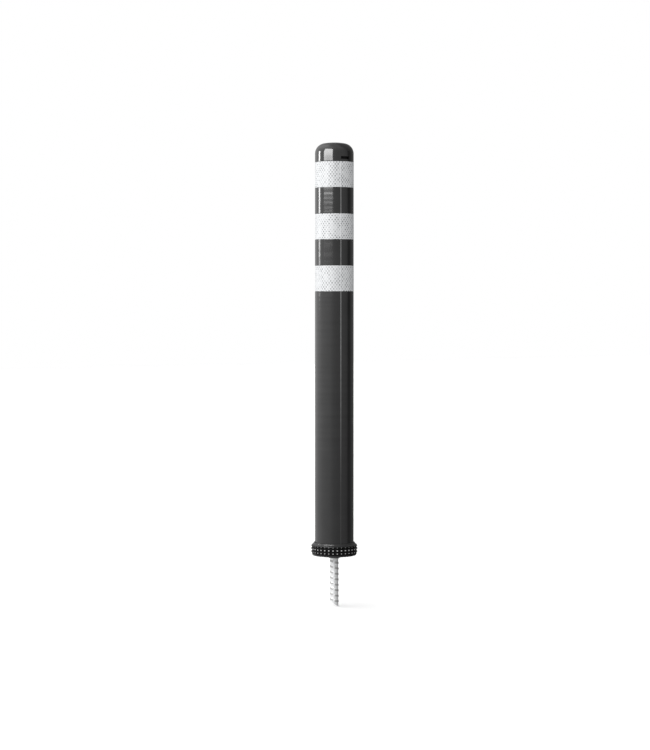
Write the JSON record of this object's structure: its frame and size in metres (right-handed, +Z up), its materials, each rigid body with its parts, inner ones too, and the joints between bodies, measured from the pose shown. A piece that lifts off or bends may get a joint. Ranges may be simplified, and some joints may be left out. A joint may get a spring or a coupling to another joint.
{
  "type": "retractable bollard",
  "caption": "Slim round flexible bollard with a domed cap, white reflective bands, a studded screw collar at its foot and a ribbed anchor bar below the pavement.",
  "frame": {"origin": "on the post's axis at pavement level, the underside of the base disc", "axes": "+Z up along the post; the pry slot in the cap faces -Y"},
  "size_m": [0.0906, 0.0902, 0.8997],
  "materials": {
    "post_black": "smooth moulded black elastomer, semi-gloss",
    "cap_black": "moulded black, glossy",
    "collar_black": "moulded black, semi-gloss",
    "grip_rubber": "black rubber with pyramid studs",
    "reflective_tape": "white retroreflective sheeting with a fine honeycomb",
    "galvanised_bar": "galvanised ribbed bar",
    "plated_steel": "zinc-plated",
    "spring_steel": "oiled spring steel",
    "moulded_black": "moulded black, matt",
    "slip_plastic": "natural acetal",
    "seal_rubber": "black rubber"
  },
  "bodies": {
    "anchor": {"anchor_bar": "galvanised_bar", "base_disc": "moulded_black", "base_washer": "plated_steel", "anchor_nut": "plated_steel", "base_gasket": "seal_rubber", "locating_pin_1": "plated_steel", "locating_pin_2": "plated_steel", "locating_pin_3": "plated_steel"},
    "foot": {"foot_plug": "moulded_black", "lower_sleeve": "post_black", "lower_spring_seat": "plated_steel", "lower_seat_bolt": "plated_steel", "lower_spring": "spring_steel", "foot_rivet_1": "plated_steel", "foot_rivet_2": "plated_steel", "foot_rivet_3": "plated_steel", "foot_rivet_4": "plated_steel"},
    "slip": {"slip_ring": "slip_plastic"},
    "collar": {"collar_ring": "collar_black", "grip_band": "grip_rubber"},
    "mid": {"anti_kink_hoop": "moulded_black", "upper_sleeve": "post_black", "upper_spring": "spring_steel"},
    "post": {"upper_spring_seat": "plated_steel", "upper_seat_bolt": "plated_steel", "upper_plug": "moulded_black", "post_tube": "post_black", "core_tube": "moulded_black", "reflective_band_top": "reflective_tape", "reflective_band_middle": "reflective_tape", "reflective_band_bottom": "reflective_tape", "dome_cap": "cap_black", "cap_seal": "seal_rubber", "cap_rivet_1": "plated_steel", "cap_rivet_2": "plated_steel", "cap_rivet_3": "plated_steel"}
  },
  "joints": [
    {"name": "post_lift", "type": "slide", "parent": "anchor", "child": "foot", "axis": [0, 0, 1], "range_m": [0, 0.04]},
    {"name": "collar_rise", "type": "slide", "parent": "foot", "child": "slip", "axis": [0, 0, 1], "range_m": [0, 0.009]},
    {"name": "collar_turn", "type": "hinge", "parent": "slip", "child": "collar", "pos_m": [0, 0, 0.014], "axis": [0, 0, 1], "range_deg": [0, 1080]},
    {"name": "lean_side", "type": "hinge", "parent": "foot", "child": "mid", "pos_m": [0, 0, 0.065], "axis": [0, 1, 0], "range_deg": [-75, 75], "stiffness_Nm_per_rad": 200, "deforming": ["lower_sleeve", "lower_spring"]},
    {"name": "lean_front", "type": "hinge", "parent": "mid", "child": "post", "pos_m": [0, 0, 0.135], "axis": [1, 0, 0], "range_deg": [-75, 75], "stiffness_Nm_per_rad": 200, "deforming": ["upper_sleeve", "upper_spring"]}
  ],
  "couplings": [
    {"joint": "collar_rise", "follows": "collar_turn", "m_per_rad": 0.00047746}
  ]
}
